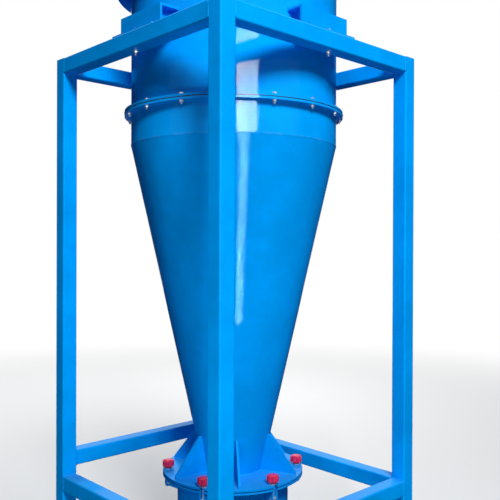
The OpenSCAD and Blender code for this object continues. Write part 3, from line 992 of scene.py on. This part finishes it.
class CYCLONE_OT_stage(bpy.types.Operator):
    """Pale floor, white surroundings, dark cards, soft lamps, a window in the gloss, and the camera"""

    bl_idname = "cyclone.stage"
    bl_label = "Stage"

    def execute(self, context):
        self.floor()
        self.cards()
        self.world()
        spared = light_group("spared", [bpy.data.objects["floor"]])
        spared.collection_objects[0].light_linking.link_state = "EXCLUDE"
        for name, place, target, size, power, spares_floor in LAMPS:
            lamp = self.lamp(name, place, target, size, power)
            if spares_floor:
                lamp.light_linking.receiver_collection = spared
        self.window()
        self.glint()
        self.camera()
        return {"FINISHED"}

    def floor(self):
        """Round floor that keeps the object's shadow nearby, and fades to white far off for what the
        camera sees."""
        radii = np.concatenate([[0.0], np.geomspace(0.5, settings().studio.floor_r, 24)])
        grid = lathe(np.stack([radii, 0 * radii], -1), 96)
        material, place = new_material("pale_floor", (0.8, 0.8, 0.8))
        distance = place.node("ShaderNodeVectorMath", {"operation": "LENGTH"}, {0: place}, output=1)
        seen = self.seen(place)
        near = place.node("ShaderNodeBsdfDiffuse", None,
                          {"Color": seen.mix((0.08, 0.10, 0.13), (0.80, 0.80, 0.79))})
        far = place.node("ShaderNodeEmission", None, {"Color": (1, 1, 1, 1), "Strength": 1.0})
        shader = place.node("ShaderNodeMixShader", None,
                            {0: distance.above(*FLOOR_FADE) * seen, 1: near, 2: far})
        place.node_sink("ShaderNodeOutputMaterial", {"Surface": shader})
        self.standing("floor", grid, material)

    def cards(self):
        """Dark cards that show only in the gloss. Two at the sides keep the edges of the round sheets
        dark: arcs of angles a swept from foot to top, (r cos a, r sin a, z). A round one under the
        object keeps the undersides dark."""
        material, place = new_material("dark_card", (0.02, 0.02, 0.02))
        black = place.node("ShaderNodeBsdfDiffuse", None, {"Color": (0.02, 0.02, 0.02, 1)})
        place.node_sink("ShaderNodeOutputMaterial", {"Surface": black})
        for name, start, end in SIDE_CARDS:
            a = np.radians(np.linspace(start, end, 40))
            x, y = SIDE_CARD_R * np.cos(a), SIDE_CARD_R * np.sin(a)
            grid = np.stack([np.stack([x, y, 0 * a + z], -1) for z in SIDE_CARD_Z])
            self.in_gloss(self.standing(name, grid, material, wrap=False))
        r, z = UNDER_CARD
        self.in_gloss(self.standing("card_under", lathe([(0.0, z), (r, z)], 96), material))

    def in_gloss(self, card):
        """Hides a card from all rays but the glossy ones."""
        card.visible_camera = card.visible_diffuse = card.visible_shadow = False
        card.visible_transmission = card.visible_volume_scatter = False

    def standing(self, name, grid, material, wrap=True):
        """Piece of the stage from a grid of points. wrap joins its last column to the first."""
        nu, nv = grid.shape[:2]
        u, v = np.arange(nu - 1)[:, None], np.arange(nv if wrap else nv - 1)[None, :]
        v1 = (v + 1) % nv
        faces = np.stack([u * nv + v, (u + 1) * nv + v, (u + 1) * nv + v1, u * nv + v1], -1)
        mesh = bpy.data.meshes.new(name)
        mesh.from_pydata(grid.reshape(-1, 3).tolist(), [], faces.reshape(-1, 4).tolist())
        mesh.validate()
        mesh.materials.append(material)
        piece = bpy.data.objects.new(name, mesh)
        bpy.context.scene.collection.objects.link(piece)
        return piece

    def seen(self, place):
        """1 for what the camera sees, itself or in gloss and clear surfaces, and 0 for matt light."""
        rays = place.node("ShaderNodeLightPath", output=0)
        outputs = rays.socket.node.outputs
        glossy = Signal(place.tree, outputs["Is Glossy Ray"])
        clear = Signal(place.tree, outputs["Is Transmission Ray"])
        either = place.node("ShaderNodeMath", {"operation": "MAXIMUM"}, {0: rays, 1: glossy})
        return place.node("ShaderNodeMath", {"operation": "MAXIMUM"}, {0: either, 1: clear})

    def world(self):
        """White for what the camera, glossy and clear surfaces see, and a dim blue for matt ones."""
        world = bpy.data.worlds.new("studio")
        bpy.context.scene.world = world
        world.use_nodes = True
        tree = world.node_tree
        tree.nodes.clear()
        start = Signal(tree)
        seen = self.seen(start)
        dim, white = (start.node("ShaderNodeBackground", None, {"Color": colour, "Strength": strength})
                      for colour, strength in (((0.40, 0.62, 1.0, 1), 0.07), ((1, 1, 1, 1), 1.0)))
        shader = start.node("ShaderNodeMixShader", None, {0: seen, 1: dim, 2: white})
        start.node_sink("ShaderNodeOutputWorld", {"Surface": shader})

    def lamp(self, name, place, target, size, power):
        """Rectangular area lamp that looks at its target. It shows neither itself nor its reflection."""
        light = bpy.data.lights.new(name, "AREA")
        light.shape = "RECTANGLE"
        light.size, light.size_y = size
        light.energy = power
        lamp = bpy.data.objects.new(name, light)
        lamp.location = place
        lamp.rotation_euler = (Vector(target) - Vector(place)).to_track_quat("-Z", "Y").to_euler()
        lamp.visible_camera = False
        lamp.visible_glossy = False
        bpy.context.scene.collection.objects.link(lamp)
        return lamp

    def window(self):
        """Window that shows only in the gloss of the barrel, its joint, the collar and the cone: two
        panes, and below them a barred slit. The slit throws its light in a narrow beam at the cone, as
        through a grid, so that it doesn't flare along the cone's edges."""
        painted = light_group("painted", [frame["nodes"][node] for node in PAINTED])
        for name, azimuth, width, start, end, glow in PANES:
            place = polar(azimuth, PANE_R, (start + end) / 2)
            size = (width, end - start)
            self.pane(name, place, PANE_TARGET, size, glow, PANE_BEAM, PANE_COLOUR, painted)
        start, end = SLIT_Z
        pitch = (end - start) / SLIT_BARS
        for bar in range(SLIT_BARS):
            z = start + (bar + 0.5) * pitch
            height = AIM_Z[0] + AIM_Z[1] * z
            target = polar(AIM_AZIMUTH, AIM_R[0] + AIM_R[1] * height, height)
            self.pane(f"slit_{bar}", polar(SLIT_AZIMUTH, SLIT_R, z), target,
                      (SLIT_WIDTH, pitch - SLIT_GAP), SLIT_GLOW, SLIT_BEAM, SLIT_COLOUR, painted)

    def glint(self):
        """Wide soft lamp behind the camera that shows only in the bare metal."""
        pieces = [bpy.data.objects[name] for name in BARE_PIECES]
        nodes = [frame["nodes"][node] for node in BARE_NODES]
        self.pane("glint", polar(*GLINT_PLACE), GLINT_TARGET, GLINT_SIZE, GLINT_GLOW, math.pi,
                  GLINT_COLOUR, light_group("bare_metal", pieces + nodes))

    def pane(self, name, place, target, size, glow, beam, colour, pieces):
        """Lamp that shows only in the gloss of the given pieces. Its brightness doesn't depend on its
        size or its beam, because the power is in proportion to the area and to 1 - b / tan b, for half
        the beam b."""
        share = 1 - beam / 2 / math.tan(beam / 2)
        power = settings().studio.window * glow * math.pi * size[0] * size[1] * share
        pane = self.lamp(name, place, target, size, power)
        pane.data.color = colour
        pane.data.spread = beam
        pane.visible_diffuse = False
        pane.visible_glossy = True
        pane.light_linking.receiver_collection = pieces

    def camera(self):
        """Camera at its place, turned by yaw, pitch and roll."""
        studio = settings().studio
        look = Vector((math.cos(studio.yaw) * math.cos(studio.pitch),
                       math.sin(studio.yaw) * math.cos(studio.pitch), math.sin(studio.pitch)))
        right = Vector((math.sin(studio.yaw), -math.cos(studio.yaw), 0))
        up = right.cross(look)
        tilted_right = right * math.cos(studio.roll) + up * math.sin(studio.roll)
        tilted_up = tilted_right.cross(look)
        lens = bpy.data.cameras.new("camera")
        lens.sensor_width = 36
        lens.lens = studio.lens
        camera = bpy.data.objects.new("camera", lens)
        turn = Matrix((tilted_right, tilted_up, -look)).transposed().to_4x4()
        camera.matrix_world = Matrix.Translation(studio.eye) @ turn
        bpy.context.scene.collection.objects.link(camera)
        bpy.context.scene.camera = camera


class CYCLONE_PT_sidebar(bpy.types.Panel):
    """Settings and pieces of the cyclone"""

    bl_idname = "CYCLONE_PT_sidebar"
    bl_label = "Cyclone Separator"
    bl_space_type = "VIEW_3D"
    bl_region_type = "UI"
    bl_category = "Cyclone"

    def draw(self, context):
        for group in (settings().paint, settings().hardware, settings().welds, settings().studio):
            box = self.layout.box()
            for name in group.bl_rna.properties.keys():
                if name not in ("rna_type", "name"):
                    box.prop(group, name)
        for operator in OPERATORS:
            self.layout.operator(operator.bl_idname)


GROUPS = (PaintSettings, HardwareSettings, WeldSettings, StudioSettings, CycloneSettings)
OPERATORS = (
    CYCLONE_OT_finishes,
    CYCLONE_OT_ring_bolts,
    CYCLONE_OT_lug_bolts,
    CYCLONE_OT_frame_welds,
    CYCLONE_OT_cyclone_welds,
    CYCLONE_OT_clamp_trim,
    CYCLONE_OT_gasket_edges,
    CYCLONE_OT_stage,
)
CLASSES = GROUPS + OPERATORS + (CYCLONE_PT_sidebar,)


def register():
    for cls in CLASSES:
        bpy.utils.register_class(cls)
    bpy.types.Scene.cyclone = PointerProperty(type=CycloneSettings)


def unregister():
    del bpy.types.Scene.cyclone
    for cls in reversed(CLASSES):
        bpy.utils.unregister_class(cls)


def main():
    register()
    bpy.context.scene.view_settings.view_transform = "Standard"
    for operator in OPERATORS:
        group, name = operator.bl_idname.split(".")
        getattr(getattr(bpy.ops, group), name)()


if __name__ == "__main__":
    main()
